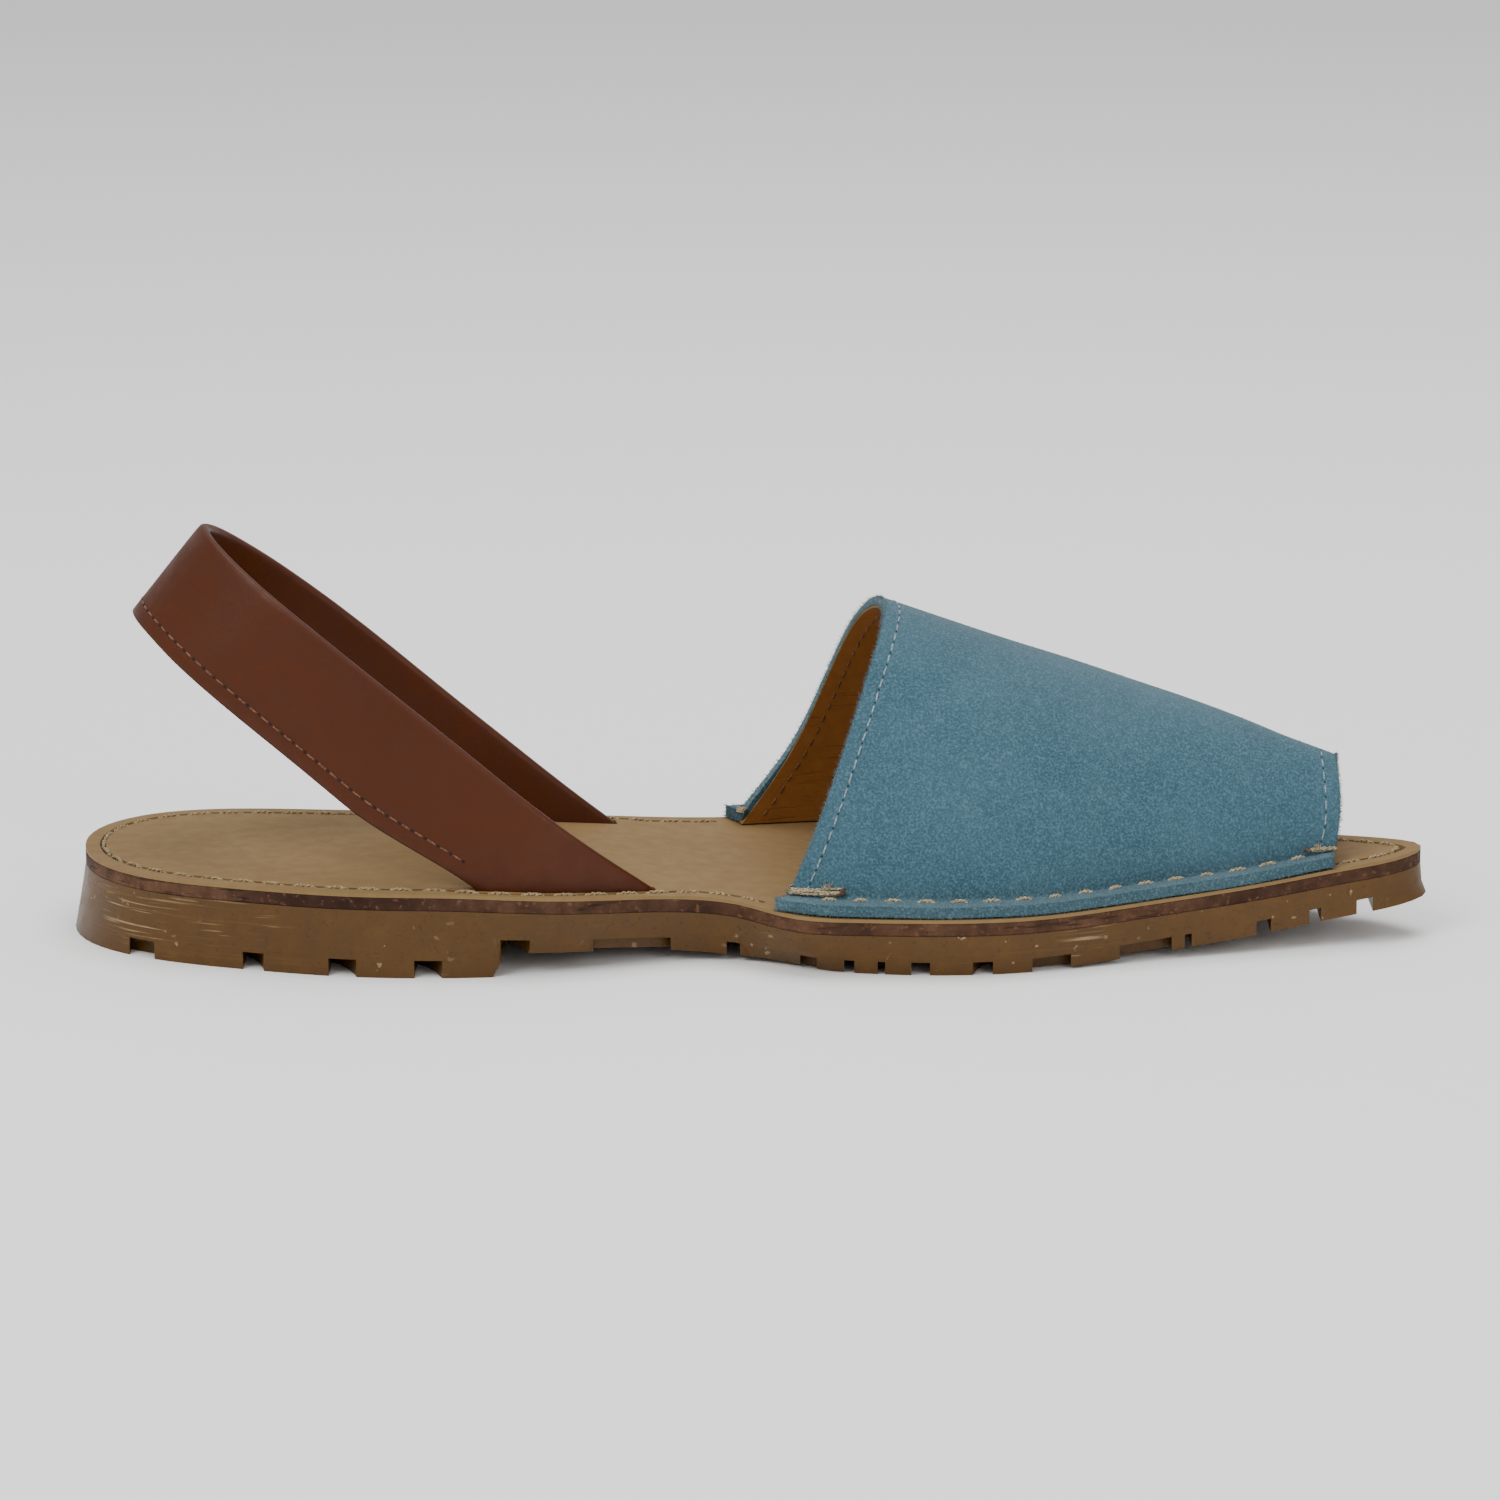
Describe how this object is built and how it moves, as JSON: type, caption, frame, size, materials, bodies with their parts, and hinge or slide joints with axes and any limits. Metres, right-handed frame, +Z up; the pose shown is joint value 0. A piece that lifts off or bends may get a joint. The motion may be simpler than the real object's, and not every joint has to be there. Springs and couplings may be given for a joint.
{
  "type": "avarca sandal",
  "caption": "Left flat sandal with an open-toed suede vamp stitched to a lugged rubber sole and a folded leather strap behind the heel.",
  "frame": {"origin": "on the floor under the middle of the sandal's bounding box", "axes": "+X towards the toe, +Y towards the outer side of the foot, +Z up from the floor"},
  "size_m": [0.2592, 0.0824, 0.0792],
  "materials": {
    "outsole": "caramel crepe-coloured rubber, trimmed and ground at the sides, lightly scuffed",
    "midsole": "brown leather board, cut and burnished at its edge",
    "insole": "natural vegetable-tanned leather, smooth and matt",
    "vamp": "dusty blue suede with a raw cut edge, lined with tan leather",
    "heel_strap": "brown smooth leather with a soft sheen"
  },
  "bodies": {
    "root": {"outsole": "outsole", "midsole": "midsole", "insole": "insole", "vamp": "vamp", "heel_strap": "heel_strap"}
  },
  "joints": []
}
